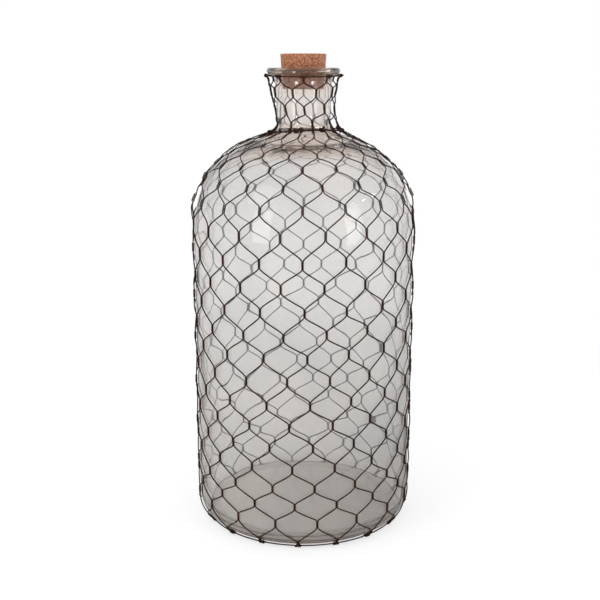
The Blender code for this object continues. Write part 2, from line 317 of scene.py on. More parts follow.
# The floor: what lights the bottle, what the camera sees, and what glass shows of it, where a glow
# that weakens to the right paints the bottle's shadow
FLOOR_SIZE = 8.0
FLOOR_WHITE = 0.88
FLOOR_GLOW = 0.65
FLOOR_LIT_SHARE = 0.52
FADE_START = 0.30
FADE_END = 0.75
# The glow that glass shows of the floor, weaker to the right: a painted shadow of the bottle
PAINTED_SHADOW_GLOW_LEFT = 0.29
PAINTED_SHADOW_GLOW_RIGHT = 0.13
MIRRORED_TINT = (1.0, 0.965, 0.89, 1)
MIRRORED_LIT_SHARE = 0.62
FAR_SEEN = 0.97
FAR_START = 0.10
FAR_END = 1.15

# Soft boxes: name, degrees from the front, distance, height, width, tallness, radiance, and
# whether they show in reflections
LAMPS = (
    ("left_box", -42.0, 1.30, 0.52, 0.42, 0.70, 1.7, True),
    ("right_box", 52.0, 1.30, 0.52, 0.42, 0.80, 1.9, True),
    ("key", -55.0, 1.30, 1.50, 0.80, 0.80, 2.2, False),
)
LAMP_AIM = 0.25

# Narrow lamps that only show as glints on the neck and the lip: name, degrees from the front,
# height, width, tallness and radiance
GLINT_LAMPS = (
    ("left_neck_strip", -27.5, 0.286, 0.100, 0.070, 0.336),
    ("right_neck_strip", 36.5, 0.286, 0.090, 0.070, 0.336),
    ("left_lip_strip", -30.0, 0.640, 0.16, 0.10, 0.336),
    ("right_lip_strip", 58.0, 0.610, 0.16, 0.10, 0.56),
    ("right_lip_side_strip", 74.0, 0.610, 0.16, 0.10, 0.56),
    ("right_lip_back_strip", 90.0, 0.610, 0.16, 0.10, 0.56),
)
GLINT_DISTANCE = 0.50
GLINT_AIM = 0.43
GLINT_SPREAD = math.radians(20)

# The photograph's camera: its place, its pitch in degrees, and its lens in pixels
CAMERA_DISTANCE = 1.0066
CAMERA_HEIGHT = 0.4724
CAMERA_PITCH = 14.181
CAMERA_FOCAL_PIXELS = 1049.3
PHOTO_PIXELS = 600
PHOTO_SHIFT_PIXELS = 3.4
SENSOR = 36.0
CLIP_START = 0.01


def arc(centre, radius, start, end, count):
    points = []
    for i in range(count):
        angle = start + (end - start) * i / (count - 1)
        points.append((centre[0] + radius * math.cos(angle), centre[1] + radius * math.sin(angle)))
    return points


def bezier(start, first_pull, second_pull, end, count):
    handles = (
        start,
        (start[0] + first_pull[0], start[1] + first_pull[1]),
        (end[0] + second_pull[0], end[1] + second_pull[1]),
        end,
    )
    points = []
    for i in range(count):
        t = i / (count - 1)
        weights = ((1 - t) ** 3, 3 * t * (1 - t) ** 2, 3 * t * t * (1 - t), t ** 3)
        points.append(tuple(sum(w * h[k] for w, h in zip(weights, handles)) for k in (0, 1)))
    return points


def offset(points, distance_at):
    """The points moved to the right of their run, by a distance that goes by the share of it."""
    moved = []
    for i, point in enumerate(points):
        before = points[max(i - 1, 0)]
        after = points[min(i + 1, len(points) - 1)]
        run = (after[0] - before[0], after[1] - before[1])
        length = math.hypot(*run)
        distance = distance_at(i / (len(points) - 1))
        moved.append((
            point[0] + run[1] / length * distance,
            point[1] - run[0] / length * distance,
        ))
    return moved


def heel(count, start=-math.pi / 2):
    return arc((BODY_RADIUS - HEEL_RADIUS, HEEL_RADIUS), HEEL_RADIUS, start, 0, count)


def shoulder(count):
    low_pull = SHOULDER_RISE * SHOULDER_LOW_PULL_SHARE
    high_pull = (BODY_RADIUS - SHOULDER_TOP_RADIUS) * SHOULDER_HIGH_PULL_SHARE
    return bezier(
        (BODY_RADIUS, BODY_HEIGHT),
        (0, low_pull),
        (high_pull * math.cos(SHOULDER_SLOPE), -high_pull * math.sin(SHOULDER_SLOPE)),
        (SHOULDER_TOP_RADIUS, SHOULDER_TOP),
        count,
    )


def neck_base(count):
    low_pull = NECK_SPREAD * NECK_LOW_PULL_SHARE
    return bezier(
        (SHOULDER_TOP_RADIUS, SHOULDER_TOP),
        (-low_pull * math.cos(SHOULDER_SLOPE), low_pull * math.sin(SHOULDER_SLOPE)),
        (0, -NECK_BASE_RISE * NECK_HIGH_PULL_SHARE),
        (NECK_RADIUS, NECK_WAIST),
        count,
    )


def neck(count):
    points = []
    for i in range(count):
        share = i / (count - 1)
        points.append((NECK_RADIUS + NECK_TOP_FLARE * share ** 2, NECK_WAIST + NECK_RISE * share))
    return points


class Track:
    """A line of (radius, height) points, read by the distance run along it, also past its ends."""

    def __init__(self, points):
        self.points = points
        self.distances = [0]
        for a, b in zip(points, points[1:]):
            self.distances.append(self.distances[-1] + math.dist(a, b))
        self.length = self.distances[-1]

    def segment(self, distance):
        index = int(np.searchsorted(self.distances, distance))
        return min(max(index, 1), len(self.points) - 1)

    def at(self, distance):
        index = self.segment(distance)
        a, b = self.points[index - 1], self.points[index]
        run = self.distances[index] - self.distances[index - 1]
        share = (distance - self.distances[index - 1]) / run
        return a[0] + (b[0] - a[0]) * share, a[1] + (b[1] - a[1]) * share

    def heading(self, distance):
        index = self.segment(distance)
        a, b = self.points[index - 1], self.points[index]
        return math.atan2(b[1] - a[1], b[0] - a[0])


def chord_sag(radius, columns):
    return radius * (1 - math.cos(math.pi / (2 * columns)))


def slack(height):
    reach = min(1, abs(height - TIE_HEIGHT) / TIE_REACH)
    return TIE_SLACK * (1 + math.cos(math.pi * reach)) / 2


def loosened(points):
    return [(radius + slack(height), height) for radius, height in points]


def body_track():
    stand = RING_WIRE_RADIUS + WIRE_GAP + chord_sag(BODY_RADIUS, BODY_COLUMNS)
    low = offset(heel(TRACK_POINTS, BASE_HOOP_ANGLE - math.pi / 2), lambda share: stand)
    high = offset(
        shoulder(TRACK_POINTS),
        lambda share: stand + SHOULDER_LIFT * math.sin(math.pi * share),
    )
    top = offset(neck_base(TRACK_POINTS), lambda share: stand)
    below_tie = [point for point in top[1:] if point[1] < TIE_HEIGHT]
    return Track(loosened(low + high + below_tie))


def neck_track(tie):
    stand = RING_WIRE_RADIUS + WIRE_GAP + chord_sag(NECK_RADIUS, NECK_COLUMNS)
    side = offset(neck_base(TRACK_POINTS) + neck(TRACK_POINTS)[1:], lambda share: stand)
    held_from = tie[1] + RING_WIRE_RADIUS
    flare_start = NECK_WAIST + NECK_RISE * NECK_FLARE_SHARE
    held = loosened(point for point in side if held_from < point[1] < flare_start)
    flare_rise = RIM_HOOP_HEIGHT - held[-1][1]
    flare = bezier(
        held[-1],
        (0, flare_rise * NECK_FLARE_SHARE),
        (0, 0),
        (RIM_HOOP_RADIUS, RIM_HOOP_HEIGHT),
        TRACK_POINTS,
    )
    return Track([tie] + held + flare[1:])


BODY_LINE = body_track()
NECK_LINE = neck_track(BODY_LINE.points[-1])
NET_LINE = Track(BODY_LINE.points + NECK_LINE.points[1:])
TIE_DISTANCE = BODY_LINE.length


def eased(stops, place):
    """A value at a place, going smoothly from each stop to the next."""
    for (low, before), (high, after) in zip(stops, stops[1:]):
        if place <= high:
            share = min(1, max(0, (place - low) / (high - low)))
            return before + (after - before) * share * share * (3 - 2 * share)
    return stops[-1][1]


def on_net(distance, angle, out):
    """A point of the netting: distance up the whole track, angle from the front, metres out."""
    near = math.exp(-((distance - TIE_DISTANCE) / TIE_NEAR) ** 2)
    sideways, backwards = math.sin(angle), (1 - math.cos(angle)) / 2
    raised = TIE_RAISE + TIE_TILT * sideways - TIE_DROOP * sideways ** 2
    distance += (raised - TIE_BACK_DROP * backwards) * near
    radius, height = NET_LINE.at(distance)
    heading = NET_LINE.heading(distance)
    out += TIE_LIFT * near - eased(NET_INSETS, height) * math.sin(heading) - SETTLE
    radius = min(radius + out * math.sin(heading), REACH_LIMIT)
    height = max(height - out * math.cos(heading), FLOOR_CLEARANCE)
    return radius * math.sin(angle) + TIE_SHIFT * near, -radius * math.cos(angle), height


def on_shoulder(distance):
    """1 half way up the shoulder, falling to 0 at its foot and at the tie."""
    share = (distance / TIE_DISTANCE - SHOULDER_SHARE) / (1 - SHOULDER_SHARE)
    return eased(LOOSENESS, share)


def loose(distance, angle):
    """How far the netting stands off: most on the shoulder, nothing at the hoops and the tie."""
    if distance < TIE_DISTANCE:
        share = distance / TIE_DISTANCE
        most = BODY_LOOSE + (SHOULDER_LOOSE - BODY_LOOSE) * on_shoulder(distance)
        ease = min(1, HOOP_EASE * share, TIE_EASE * (1 - share))
    else:
        share = (distance - TIE_DISTANCE) / (NET_LINE.length - TIE_DISTANCE)
        most = NECK_LOOSE
        ease = min(1, HOOP_EASE * share, HOOP_EASE * (1 - share))
    radius = NET_LINE.at(distance)[0]
    place = mathutils.Vector((radius * math.sin(angle), radius * math.cos(angle), distance))
    ruffle = min(1, max(-1, 2 * mathutils.noise.noise(place / LOOSE_LENGTH)))
    return most * max(ease, 0) * (0.5 + 0.5 * ruffle)


def row_spacing(rows, k):
    near = rows[max(k - 1, 0):k + 2]
    return (near[-1] - near[0]) / (len(near) - 1)


class Netting:
    """The lattice of the CAD netting, with strands that are wound, hooked and tucked.

    A strand's points are (distance up its track, angle from the front, metres out).
    """

    def __init__(self, track, start, columns, row_shares, twist_share, angle_of, skew, seed):
        self.track = track
        self.start = start
        self.lanes = 2 * columns
        self.rows = [share * track.length for share in row_shares]
        self.halves = [
            twist_share * row_spacing(self.rows, k) / 2 for k in range(len(self.rows))
        ]
        chance = random.Random(seed)
        self.twists = {}
        for k, row in enumerate(self.rows):
            for half_column in range(k % 2, self.lanes, 2):
                share = row / track.length
                freedom = math.sin(math.pi * share)
                angle = angle_of(share) + half_column * math.pi / columns
                aside = NUDGE_ACROSS * chance.uniform(-1, 1) * freedom / track.at(row)[0]
                along = NUDGE_ALONG * chance.uniform(-1, 1) * freedom
                lift = skew * math.sin(angle) * 4 * share * (1 - share)
                self.twists[k, half_column] = (row + along + lift, angle + aside)
        self.looks = random.Random(seed + LOOKS_SEED_STEP)

    def twist(self, k, half_column):
        distance, angle = self.twists[k, half_column % self.lanes]
        return distance, angle + (half_column // self.lanes) * 2 * math.pi

    def hook(self, ring, angle, side, onward):
        """The turns of a strand's end round a hoop, from the netting's side to the cut end."""
        reach = HOOP_RADIUS + STRAND_RADIUS
        turns = self.looks.uniform(*HOOK_TURNS)
        spur = self.looks.uniform(*HOOK_SPUR)
        radius = self.track.at(min(max(ring, 0), self.track.length))[0]
        steps = int(turns * POINTS_PER_TURN)
        points = []
        for i in range(steps + 1):
            round_by = 2 * math.pi * turns * i / steps
            aside = side * (TWIST_ACROSS + HOOK_PITCH * turns * i / steps)
            points.append((
                ring + onward * reach * math.sin(round_by),
                angle + aside / radius,
                HOOP_LIFT + reach * math.cos(round_by),
            ))
        last = points[-1]
        points.append((
            last[0] + onward * spur * HOOK_SPUR_AHEAD_SHARE,
            last[1] + side * spur / radius,
            last[2] + spur * HOOK_SPUR_OUT_SHARE,
        ))
        return points

    def tuck(self, ring, angle, side, onward):
        """A strand's end where the tie holds it: pulled in under it, then bent out beyond it."""
        under = HOOP_LIFT - TIE_WIND - TIE_STRAND_RADIUS - STRAND_RADIUS
        beyond = self.looks.uniform(*TUCK_BEYOND)
        spur = self.looks.uniform(*TUCK_SPUR)
        radius = self.track.at(min(max(ring, 0), self.track.length))[0]
        turned_to = angle + side * TWIST_ACROSS / radius
        end = ring + onward * (TUCK_REACH + beyond)
        return [
            (ring - onward * TUCK_REACH, turned_to, TUCK_IN_SHARE * under),
            (ring - onward * TUCK_HOLD, turned_to, under),
            (ring + onward * TUCK_HOLD, turned_to, under),
            (ring + onward * TUCK_REACH, turned_to, TUCK_OUT_SHARE * under),
            (end, turned_to + side * spur / radius, TUCK_END_SHARE * under + spur),
        ]

    def legs(self, lane):
        """The twists of one lane's strand: low and high end, angle, and the lane's side of it."""
        legs = []
        for k in range(len(self.rows)):
            on_left = (k + lane) % 2 == 0
            distance, angle = self.twist(k, lane if on_left else lane + 1)
            low = distance - self.halves[k]
            high = distance + self.halves[k]
            if k == 0:
                low = HOOK_RAMP
            if k == len(self.rows) - 1:
                high = self.track.length - HOOK_RAMP
            legs.append((low, high, angle, 1 if on_left else -1))
        return legs

    def winding(self, low, high, angle, side):
        """A strand's part of one twist, in whole turns round the other strand."""
        turns = max(1, round((high - low) / TURN_LENGTH))
        steps = turns * POINTS_PER_TURN
        points = []
        for i in range(steps + 1):
            distance = low + (high - low) * i / steps
            phase = 2 * math.pi * turns * i / steps
            apart = TWIST_OPENING * on_shoulder(self.start + distance)
            across = TWIST_ACROSS + apart / 2
            aside = side * across * math.cos(phase) / self.track.at(distance)[0]
            out = side * (TWIST_OUT + apart) * math.sin(phase) + apart
            points.append((distance, angle + aside, out))
        return points

    def diagonal(self, begin, leg):
        """The run from the end of one twist to the start of the next, with a random bow."""
        low, high, angle, side = leg
        end = (low, angle + side * TWIST_ACROSS / self.track.at(low)[0])
        pull = (end[0] - begin[0]) * DIAGONAL_PULL_SHARE
        curve = bezier(begin[:2], (pull, 0), (-pull, 0), end, DIAGONAL_POINTS + 2)[1:-1]
        across = self.looks.uniform(-1, 1) * BOW_ACROSS
        out = self.looks.uniform(*BOW_OUT_SHARES)
        middle = self.start + (begin[0] + end[0]) / 2
        out *= BOW_OUT + (SHOULDER_BOW * on_shoulder(middle) if out > 0 else 0)
        points = []
        for i, (distance, at) in enumerate(curve):
            bow = math.sin(math.pi * (i + 1) / (DIAGONAL_POINTS + 1)) ** 2
            points.append((distance + across * bow, at, out * bow))
        return points

    def strand(self, lane):
        """One lane's strand from its lower to its upper cut end: placed points and their radii."""
        legs = self.legs(lane)
        begin, finish = (self.tuck, self.hook) if self.start else (self.hook, self.tuck)
        path = begin(0, *legs[0][2:], -1)[::-1]
        for i, leg in enumerate(legs):
            path += self.winding(*leg)
            if i + 1 < len(legs):
                path += self.diagonal(path[-1], legs[i + 1])
        path += finish(self.track.length, *legs[-1][2:], 1)
        placed, radii = [], []
        for distance, angle, out in path:
            along = self.start + distance
            placed.append(on_net(along, angle, out + loose(along, angle)))
            radii.append(eased(STRAND_RADII, along / TIE_DISTANCE))
        return placed, radii


def body_angle(share):
    return BODY_FRONT + BODY_LEAN * max(0, 1 - share / BODY_LEAN_SHARE)


def neck_angle(share):
    return NECK_FRONT + NECK_LEAN * max(0, 1 - share / NECK_LEAN_SHARE)


def add(name, mesh, finish, body, slot, *nodes):
    """A piece that stands for CAD nodes and moves with their body."""
    mesh.materials.append(finish)
    made = bpy.data.objects.new(name, mesh)
    bpy.context.scene.collection.objects.link(made)
    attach(made, body)
    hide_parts(*nodes)


def tube_parts(points, radius, closed, first_vertex):
    """Vertices and faces of a round tube along points, with flat ends where it isn't closed."""
    line = np.array(points, float)
    radii = np.broadcast_to(radius, len(line))
    ahead = np.roll(line, -1, axis=0) - np.roll(line, 1, axis=0)
    if not closed:
        ahead[0] = line[1] - line[0]
        ahead[-1] = line[-1] - line[-2]
    ahead /= np.linalg.norm(ahead, axis=1)[:, None]
    steep = abs(ahead[0][2]) >= 0.9
    helper = np.array((1.0, 0, 0)) if steep else np.array((0, 0, 1.0))
    across = np.cross(ahead[0], helper)
    across /= np.linalg.norm(across)
    vertices = []
    for point, direction, size in zip(line, ahead, radii):
        across = across - direction * (across @ direction)
        across /= np.linalg.norm(across)
        upward = np.cross(direction, across)
        for j in range(STRAND_SIDES):
            turn = 2 * math.pi * j / STRAND_SIDES
            vertices.append(point + size * (across * math.cos(turn) + upward * math.sin(turn)))
    faces = []
    count = len(line)
    for i in range(count if closed else count - 1):
        for j in range(STRAND_SIDES):
            a = i * STRAND_SIDES + j
            b = i * STRAND_SIDES + (j + 1) % STRAND_SIDES
            c = ((i + 1) % count) * STRAND_SIDES
            faces.append([a, b, c + (j + 1) % STRAND_SIDES, c + j])
    if not closed:
        faces.append(list(range(STRAND_SIDES))[::-1])
        faces.append([(count - 1) * STRAND_SIDES + j for j in range(STRAND_SIDES)])
    faces = [[first_vertex + v for v in face] for face in faces]
    return vertices, faces


def tubes(name, lines):
    """One mesh of tubes, each (points, radius, closed), where radius can be one for each point."""
    vertices, faces = [], []
    for points, radius, closed in lines:
        more, sides = tube_parts(points, radius, closed, len(vertices))
        vertices += more
        faces += sides
    mesh = bpy.data.meshes.new(name)
    mesh.from_pydata([tuple(v) for v in vertices], [], faces)
    mesh.shade_smooth()
    mesh.set_sharp_from_angle(angle=SHARP_ANGLE)
    return mesh


def subdivided(points, step):
    """The points with more between them, at most a step apart."""
    line = [points[0]]
    for a, b in zip(points, points[1:]):
        pieces = max(1, math.ceil(math.dist(a, b) / step))
        for i in range(1, pieces + 1):
            line.append((a[0] + (b[0] - a[0]) * i / pieces, a[1] + (b[1] - a[1]) * i / pieces))
    return line


def turned(name, outline, steps, shift):
    """A solid turned about Z, whose outline starts and ends on it; shift moves each point."""
    vertices, faces = [], []
    rings = outline[1:-1]
    for i, (radius, height) in enumerate(rings):
        for j in range(steps):
            vertices.append(shift(i, radius, 2 * math.pi * j / steps, height))
    first, last = len(vertices), len(vertices) + 1
    vertices.append((0, 0, outline[0][1]))
    vertices.append((0, 0, outline[-1][1]))
    for i in range(len(rings) - 1):
        for j in range(steps):
            k = (j + 1) % steps
            faces.append([i * steps + j, (i + 1) * steps + j, (i + 1) * steps + k, i * steps + k])
    end = (len(rings) - 1) * steps
    for j in range(steps):
        k = (j + 1) % steps
        faces.append([first, j, k])
        faces.append([last, end + k, end + j])
    mesh = bpy.data.meshes.new(name)
    mesh.from_pydata(vertices, [], faces)
    mesh.shade_smooth()
    return mesh


def glass_outline():
    """Up the inside from the middle of the inner floor, and over the lip down to the foot."""
    inner_radius = BODY_RADIUS - BODY_WALL
    corner = arc(
        (inner_radius - INNER_HEEL_RADIUS, FLOOR_THICKNESS + INNER_HEEL_RADIUS),
        INNER_HEEL_RADIUS, -math.pi / 2, 0, count=12,
    )
    thicken = NECK_WALL - BODY_WALL
    inner_shoulder = offset(
        shoulder(count=60),
        lambda share: -BODY_WALL - thicken * share ** THICKENING_POWER,
    )
    inner_shoulder[0] = (inner_radius, BODY_HEIGHT)
    inner_neck_base = offset(neck_base(count=14), lambda share: -NECK_WALL)[1:]
    inner_neck_base[-1] = (BORE_RADIUS, NECK_WAIST)
    mouth = arc(
        (BORE_RADIUS + MOUTH_EDGE, LIP_TOP - MOUTH_EDGE),
        MOUTH_EDGE, math.pi, math.pi / 2, count=7,
    )
    inside = [(0, FLOOR_THICKNESS)] + corner + inner_shoulder + inner_neck_base + mouth
    lip_round = LIP_THICKNESS / 2
    lip = arc(
        (LIP_RADIUS - lip_round, LIP_TOP - lip_round),
        lip_round, math.pi / 2, -math.pi / 2, count=17,
    )
    neck_top = NECK_RADIUS + NECK_TOP_FLARE
    fillet = arc(
        (neck_top + LIP_FILLET, LIP_BOTTOM - LIP_FILLET),
        LIP_FILLET, math.pi / 2, math.pi, count=5,
    )
    neck_down = [p for p in neck(count=14)[::-1] if p[1] < LIP_BOTTOM - LIP_FILLET]
    base_down = neck_base(count=18)[-2::-1]
    shoulder_down = shoulder(count=44)[-2::-1]
    heel_down = heel(count=16)[::-1]
    outside = lip + fillet + neck_down + base_down + shoulder_down + heel_down + [(0, 0)]
    return subdivided(inside, GLASS_STEP), subdivided(outside, GLASS_STEP)


def evenness(angle, wave):
    """1 where the shoulder thickens gently towards the neck, least where it does so suddenly."""
    beside = 1 - math.cos(angle - SUDDEN_ANGLE)
    return min(1, max(0, LEAST_EVEN + SUDDEN_FALL * beside + WAVE_EVEN * wave))


def glass_piece(finish):
    inside, outside = glass_outline()
    last_inside = len(inside) - 1

    def shift(i, radius, angle, height):
        """Waves of the blown glass. The outside only ever goes inwards from its CAD shape."""
        x, y = math.sin(angle), -math.cos(angle)
        spot = mathutils.Vector((radius * x, radius * y, height / WAVE_STRETCH)) / WAVE_LENGTH
        wave = mathutils.noise.noise(spot + WAVE_PLACE)
        if i < last_inside and radius > BORE_RADIUS + MOUTH_EDGE:
            radius += WAVE_DEPTH * wave
            share = (height - BODY_HEIGHT) / SHOULDER_RISE
            if 0 < share < 1:
                extra = share ** SOFT_POWER - share ** THICKENING_POWER
                height -= (NECK_WALL - BODY_WALL) * extra * evenness(angle, wave)
            if height < FLOOR_THICKNESS + INNER_HEEL_RADIUS:
                height += FLOOR_WAVE_DEPTH * mathutils.noise.noise(spot * FLOOR_WAVE_SCALE)
        elif i > last_inside and height < LIP_BOTTOM:
            radius -= min(radius, eased(GLASS_INSETS, height) * (1 + WAVE_SHARE * wave))
        return radius * x, radius * y, height

    mesh = turned("glass_blown", inside + outside, GLASS_SIDES, shift)
    add("glass_blown", mesh, finish, "bottle", "glass", "glass_bottle")


def cork_piece(finish):
    """The cork, with soft edges and a pitted skin that never stands out of its CAD shape."""
    base = LIP_TOP + CORK_SHOWING - CORK_LENGTH
    top = base + CORK_LENGTH
    lean = math.atan(CORK_SLOPE)
    upper = arc(
        (CORK_TOP_RADIUS - CORK_EDGE_RADIUS, top - CORK_EDGE_RADIUS),
        CORK_EDGE_RADIUS, math.pi / 2, -lean, count=6,
    )
    lower = arc(
        (CORK_BOTTOM_RADIUS - CORK_EDGE_RADIUS, base + CORK_EDGE_RADIUS),
        CORK_EDGE_RADIUS, -lean, -math.pi / 2, count=6,
    )
    outline = subdivided([(0, top)] + upper + lower + [(0, base)], CORK_STEP)

    def shift(i, radius, angle, height):
        x, y = math.sin(angle), -math.cos(angle)
        spot = mathutils.Vector((radius * x, radius * y, height))
        pit = sum(max(0, mathutils.noise.noise(spot * scale)) for scale in CORK_PIT_SCALES)
        inward = CORK_PIT_DEPTH * pit
        if radius > CORK_BOTTOM_RADIUS - CORK_EDGE_RADIUS:
            radius -= inward
        elif height > base + CORK_LENGTH / 2:
            height -= inward
        else:
            height += inward
        return radius * x, radius * y, height

    mesh = turned("cork_agglomerate", outline, CORK_SIDES, shift)
    add("cork_agglomerate", mesh, finish, "cork", "cork", "cork_stopper")


def hoop_line(distance):
    return [
        on_net(distance, 2 * math.pi * i / HOOP_POINTS, HOOP_LIFT)
        for i in range(HOOP_POINTS)
    ]


def tie_line(phase):
    """One of the two strands of the tie, wound round each other."""
    points = []
    for i in range(TIE_POINTS):
        angle = 2 * math.pi * i / TIE_POINTS
        turned_by = TIE_TURNS * angle + phase
        points.append(on_net(
            TIE_DISTANCE + TIE_WIND * math.sin(turned_by), angle,
            HOOP_LIFT + TIE_WIND * math.cos(turned_by),
        ))
    return points


def knot_line(angle, turns, spur):
    """A wire's end wound round the tie at an angle."""
    reach = TIE_WIND + TIE_STRAND_RADIUS + STRAND_RADIUS
    radius = NET_LINE.at(TIE_DISTANCE)[0]
    points = []
    steps = int(turns * KNOT_POINTS_PER_TURN)
    for i in range(steps + 1):
        round_by = 2 * math.pi * turns * i / steps
        aside = KNOT_PITCH * (turns * i / steps - turns / 2)
        points.append(on_net(
            TIE_DISTANCE + reach * math.sin(round_by),
            angle + aside / radius,
            HOOP_LIFT + reach * math.cos(round_by),
        ))
    before, last = points[-2:]
    ahead = [b - a for a, b in zip(before, last)]
    size = math.sqrt(sum(v * v for v in ahead))
    points.append(tuple(v + spur * d / size for v, d in zip(last, ahead)))
    return points


def netting_pieces(finish):
    body_net = Netting(
        BODY_LINE, 0, BODY_COLUMNS, BODY_ROW_SHARES,
        BODY_TWIST_STRETCH * BODY_TWIST_SHARE, body_angle,
        BODY_SKEW, NUDGE_SEED,
    )
    neck_net = Netting(
        NECK_LINE, TIE_DISTANCE, NECK_COLUMNS, NECK_ROW_SHARES,
        NECK_TWIST_STRETCH * NECK_TWIST_SHARE, neck_angle,
        0, NUDGE_SEED + 1,
    )

    def add_wires(name, lines, node_name):
        add(name, tubes(name, lines), finish, "bottle", "net_wire", node_name)

    for part, net in (("body", body_net), ("neck", neck_net)):
        for lane in range(net.lanes):
            number = f"{lane + 1:02d}"
            line = (*net.strand(lane), False)
            add_wires(f"{part}_strand_{number}", [line], f"{part}_wire_{number}")
    add_wires("base_hoop", [(hoop_line(0), HOOP_RADIUS, True)], "base_hoop_wire")
    add_wires("rim_hoop", [(hoop_line(NET_LINE.length), HOOP_RADIUS, True)], "rim_hoop_wire")
    tie = [(tie_line(phase), TIE_STRAND_RADIUS, True) for phase in (0, math.pi)]
    for degrees, turns, spur in TIE_KNOTS:
        tie.append((knot_line(math.radians(degrees), turns, spur), STRAND_RADIUS, False))
    add_wires("neck_tie", tie, "neck_tie_wire")


def node(tree, kind, x, y, sockets=None, **settings):
    """A new node, with the values of its sockets that nothing is linked to."""
    made = tree.nodes.new(kind)
    made.location = (x, y)
    for key, value in settings.items():
        setattr(made, key, value)
    for socket, value in (sockets or {}).items():
        made.inputs[socket].default_value = value
    return made


def link(tree, source, output, target, socket):
    tree.links.new(source.outputs[output], target.inputs[socket])


def blank_material(name, sockets):
    made = bpy.data.materials.new(name)
    made.use_nodes = True
    tree = made.node_tree
    shader = tree.nodes["Principled BSDF"]
    for socket, value in sockets.items():
        shader.inputs[socket].default_value = value
    return made, tree, shader


def ramp(tree, x, y, stops, source, output):
    """Colours by a value."""
    made = node(tree, "ShaderNodeValToRGB", x, y)
    elements = made.color_ramp.elements
    while len(elements) > 2:
        elements.remove(elements[-1])
    for _ in range(len(stops) - 2):
        elements.new(0.5)
    for element, (place, colour) in zip(elements, stops):
        element.position = place
        element.color = (*colour, 1)
    link(tree, source, output, made, "Fac")
    return made


def noise(tree, x, y, coordinates, scale, detail=3.0, roughness=0.5):
    sockets = {"Scale": scale, "Detail": detail, "Roughness": roughness}
    made = node(tree, "ShaderNodeTexNoise", x, y, sockets)
    link(tree, coordinates, "Object", made, "Vector")
    return made


def ranged(tree, x, y, source, output, start=(0.0, 1.0), end=(0.0, 1.0), **settings):
    """A value taken from one range to another."""
    sockets = {"From Min": start[0], "From Max": start[1], "To Min": end[0], "To Max": end[1]}
    made = node(tree, "ShaderNodeMapRange", x, y, sockets, **settings)
    link(tree, source, output, made, "Value")
    return made


def multiplied(tree, x, y, first, first_output, second):
    """One colour times another."""
    made = node(
        tree, "ShaderNodeMix", x, y, {MIX_FACTOR: 1.0},
        data_type="RGBA", blend_type="MULTIPLY",
    )
    link(tree, first, first_output, made, MIX_A)
    link(tree, second, "Color", made, MIX_B)
    return made


def bumped(tree, shader, source, output, strength, distance):
    sockets = {"Strength": strength, "Distance": distance}
    made = node(tree, "ShaderNodeBump", -400, -400, sockets)
    link(tree, source, output, made, "Height")
    link(tree, made, "Normal", shader, "Normal")


def glass_material():
    made, tree, shader = blank_material(
        "blown_glass", {"Transmission Weight": GLASS_TRANSMISSION, "IOR": GLASS_IOR},
    )
    coordinates = node(tree, "ShaderNodeTexCoord", -1200, 0)
    patches = noise(tree, -900, 200, coordinates, PATCH_SCALE)
    shade = ramp(tree, -650, 200, PATCH_COLOURS, patches, "Fac")
    # Painted shade on the glass's edges, by how aslant they are seen
    facing = node(tree, "ShaderNodeLayerWeight", -900, 450, {"Blend": 0.5})
    painted_edge_shade = ramp(tree, -650, 450, EDGE_SHADE_COLOURS, facing, "Facing")
    tinted = multiplied(tree, -350, 300, shade, "Color", painted_edge_shade)
    # Tint by height, with painted shade: a darker band under the tie and a darker lip
    split = node(tree, "ShaderNodeSeparateXYZ", -900, 700)
    link(tree, coordinates, "Object", split, "Vector")
    height = ranged(tree, -700, 700, split, "Z", (HEIGHT_TINT_LOW, HEIGHT_TINT_HIGH))
    tint_and_shade = ramp(tree, -450, 700, HEIGHT_TINT_AND_SHADE_COLOURS, height, "Result")
    tinted_and_shaded = multiplied(tree, -150, 400, tinted, MIX_RESULT, tint_and_shade)
    link(tree, tinted_and_shaded, MIX_RESULT, shader, "Base Color")
    smears = noise(tree, -900, -100, coordinates, SMEAR_SCALE, detail=4.0)
    gloss = ranged(tree, -650, -100, smears, "Fac", SMEAR_RANGE, GLASS_ROUGHNESS)
    link(tree, gloss, "Result", shader, "Roughness")
    ripples = noise(tree, -900, -400, coordinates, RIPPLE_SCALE, detail=2.0)
    bumped(tree, shader, ripples, "Fac", RIPPLE_STRENGTH, RIPPLE_DISTANCE)
    absorb = node(
        tree, "ShaderNodeVolumeAbsorption", -100, -300,
        {"Color": ABSORBED_COLOUR, "Density": ABSORBED_DENSITY},
    )
    link(tree, absorb, "Volume", tree.nodes["Material Output"], "Volume")
    return made


def wire_material():
    made, tree, shader = blank_material(
        "oxidised_wire", {"Metallic": WIRE_METALLIC, "Specular IOR Level": WIRE_SPECULAR},
    )
    coordinates = node(tree, "ShaderNodeTexCoord", -1200, 0)
    rust = noise(tree, -900, 200, coordinates, RUST_SCALE, detail=5.0, roughness=0.6)
    shade = ramp(tree, -650, 200, RUST_COLOURS, rust, "Fac")
    link(tree, shade, "Color", shader, "Base Color")
    rough = ranged(tree, -650, -100, rust, "Fac", end=WIRE_ROUGHNESS)
    link(tree, rough, "Result", shader, "Roughness")
    flakes = noise(tree, -900, -400, coordinates, FLAKE_SCALE)
    bumped(tree, shader, flakes, "Fac", FLAKE_STRENGTH, FLAKE_DISTANCE)
    return made


